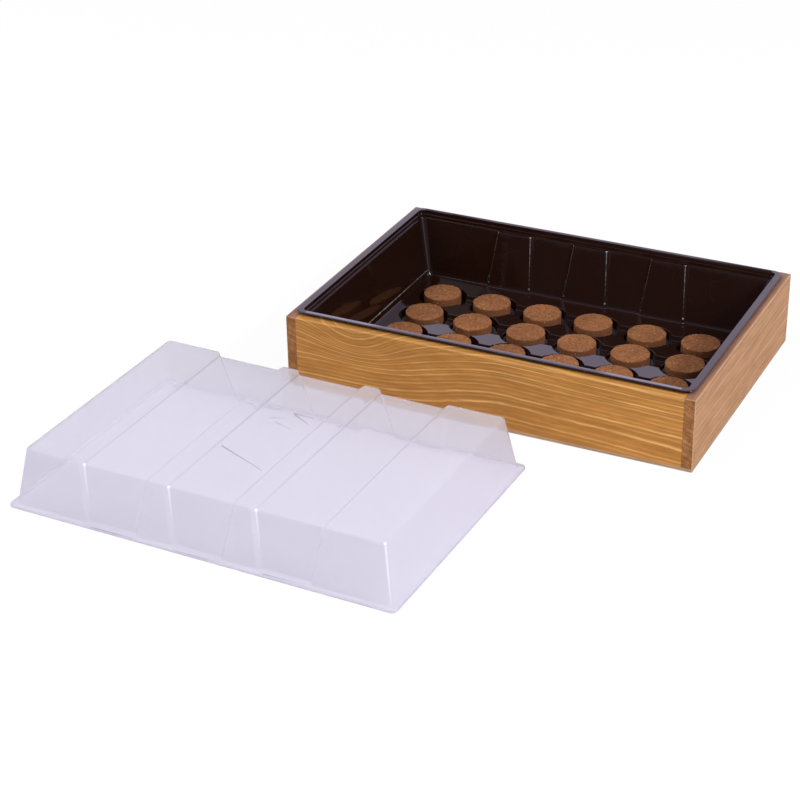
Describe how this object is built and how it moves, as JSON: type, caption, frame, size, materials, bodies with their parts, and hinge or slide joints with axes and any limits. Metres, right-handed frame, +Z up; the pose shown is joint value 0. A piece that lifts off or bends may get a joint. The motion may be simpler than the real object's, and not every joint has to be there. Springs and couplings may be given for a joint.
{
  "type": "seed starting box",
  "caption": "Shallow stained wooden box with a dark moulded plastic growing tray standing in it, pressed growing pellets in its wells, and a clear plastic hood standing in front.",
  "frame": {"origin": "centre of the wooden box's underside, on the surface that it stands on", "axes": "+Z up, +X along the box's long side to the right as seen from the front, +Y from the front to the back; the hood stands in front, at -Y"},
  "size_m": [0.512, 0.5829, 0.075],
  "materials": {
    "stained_pine": "satin",
    "plywood": "matte",
    "steel_wire": "satin",
    "dark_sheet": "gloss",
    "clear_sheet": "gloss",
    "pressed_fibre": "matte"
  },
  "bodies": {
    "wooden_box": {"front_board": "stained_pine", "back_board": "stained_pine", "left_end_board": "stained_pine", "right_end_board": "stained_pine", "bottom_panel": "plywood", "corner_brads": "steel_wire", "panel_brads": "steel_wire"},
    "tray": {"inner_tray": "dark_sheet"},
    "hood": {"clear_hood": "clear_sheet"},
    "pellet_01": {"pellet_01": "pressed_fibre"},
    "pellet_02": {"pellet_02": "pressed_fibre"},
    "pellet_03": {"pellet_03": "pressed_fibre"},
    "pellet_04": {"pellet_04": "pressed_fibre"},
    "pellet_05": {"pellet_05": "pressed_fibre"},
    "pellet_06": {"pellet_06": "pressed_fibre"},
    "pellet_07": {"pellet_07": "pressed_fibre"},
    "pellet_08": {"pellet_08": "pressed_fibre"},
    "pellet_09": {"pellet_09": "pressed_fibre"},
    "pellet_10": {"pellet_10": "pressed_fibre"},
    "pellet_11": {"pellet_11": "pressed_fibre"},
    "pellet_12": {"pellet_12": "pressed_fibre"},
    "pellet_13": {"pellet_13": "pressed_fibre"},
    "pellet_14": {"pellet_14": "pressed_fibre"},
    "pellet_15": {"pellet_15": "pressed_fibre"},
    "pellet_16": {"pellet_16": "pressed_fibre"},
    "pellet_17": {"pellet_17": "pressed_fibre"},
    "pellet_18": {"pellet_18": "pressed_fibre"},
    "pellet_19": {"pellet_19": "pressed_fibre"},
    "pellet_20": {"pellet_20": "pressed_fibre"},
    "pellet_21": {"pellet_21": "pressed_fibre"},
    "pellet_22": {"pellet_22": "pressed_fibre"},
    "pellet_23": {"pellet_23": "pressed_fibre"},
    "pellet_24": {"pellet_24": "pressed_fibre"}
  },
  "joints": [
    {"name": "hood_lift", "type": "slide", "parent": "wooden_box", "child": "hood", "axis": [0, 0, 1], "range_m": [0, 0.1]},
    {"name": "inner_tray_lift", "type": "slide", "parent": "wooden_box", "child": "tray", "axis": [0, 0, 1], "range_m": [0, 0.08]},
    {"name": "pellet_01_lift", "type": "slide", "parent": "tray", "child": "pellet_01", "axis": [0, 0, 1], "range_m": [0, 0.08]},
    {"name": "pellet_02_lift", "type": "slide", "parent": "tray", "child": "pellet_02", "axis": [0, 0, 1], "range_m": [0, 0.08]},
    {"name": "pellet_03_lift", "type": "slide", "parent": "tray", "child": "pellet_03", "axis": [0, 0, 1], "range_m": [0, 0.08]},
    {"name": "pellet_04_lift", "type": "slide", "parent": "tray", "child": "pellet_04", "axis": [0, 0, 1], "range_m": [0, 0.08]},
    {"name": "pellet_05_lift", "type": "slide", "parent": "tray", "child": "pellet_05", "axis": [0, 0, 1], "range_m": [0, 0.08]},
    {"name": "pellet_06_lift", "type": "slide", "parent": "tray", "child": "pellet_06", "axis": [0, 0, 1], "range_m": [0, 0.08]},
    {"name": "pellet_07_lift", "type": "slide", "parent": "tray", "child": "pellet_07", "axis": [0, 0, 1], "range_m": [0, 0.08]},
    {"name": "pellet_08_lift", "type": "slide", "parent": "tray", "child": "pellet_08", "axis": [0, 0, 1], "range_m": [0, 0.08]},
    {"name": "pellet_09_lift", "type": "slide", "parent": "tray", "child": "pellet_09", "axis": [0, 0, 1], "range_m": [0, 0.08]},
    {"name": "pellet_10_lift", "type": "slide", "parent": "tray", "child": "pellet_10", "axis": [0, 0, 1], "range_m": [0, 0.08]},
    {"name": "pellet_11_lift", "type": "slide", "parent": "tray", "child": "pellet_11", "axis": [0, 0, 1], "range_m": [0, 0.08]},
    {"name": "pellet_12_lift", "type": "slide", "parent": "tray", "child": "pellet_12", "axis": [0, 0, 1], "range_m": [0, 0.08]},
    {"name": "pellet_13_lift", "type": "slide", "parent": "tray", "child": "pellet_13", "axis": [0, 0, 1], "range_m": [0, 0.08]},
    {"name": "pellet_14_lift", "type": "slide", "parent": "tray", "child": "pellet_14", "axis": [0, 0, 1], "range_m": [0, 0.08]},
    {"name": "pellet_15_lift", "type": "slide", "parent": "tray", "child": "pellet_15", "axis": [0, 0, 1], "range_m": [0, 0.08]},
    {"name": "pellet_16_lift", "type": "slide", "parent": "tray", "child": "pellet_16", "axis": [0, 0, 1], "range_m": [0, 0.08]},
    {"name": "pellet_17_lift", "type": "slide", "parent": "tray", "child": "pellet_17", "axis": [0, 0, 1], "range_m": [0, 0.08]},
    {"name": "pellet_18_lift", "type": "slide", "parent": "tray", "child": "pellet_18", "axis": [0, 0, 1], "range_m": [0, 0.08]},
    {"name": "pellet_19_lift", "type": "slide", "parent": "tray", "child": "pellet_19", "axis": [0, 0, 1], "range_m": [0, 0.08]},
    {"name": "pellet_20_lift", "type": "slide", "parent": "tray", "child": "pellet_20", "axis": [0, 0, 1], "range_m": [0, 0.08]},
    {"name": "pellet_21_lift", "type": "slide", "parent": "tray", "child": "pellet_21", "axis": [0, 0, 1], "range_m": [0, 0.08]},
    {"name": "pellet_22_lift", "type": "slide", "parent": "tray", "child": "pellet_22", "axis": [0, 0, 1], "range_m": [0, 0.08]},
    {"name": "pellet_23_lift", "type": "slide", "parent": "tray", "child": "pellet_23", "axis": [0, 0, 1], "range_m": [0, 0.08]},
    {"name": "pellet_24_lift", "type": "slide", "parent": "tray", "child": "pellet_24", "axis": [0, 0, 1], "range_m": [0, 0.08]}
  ]
}
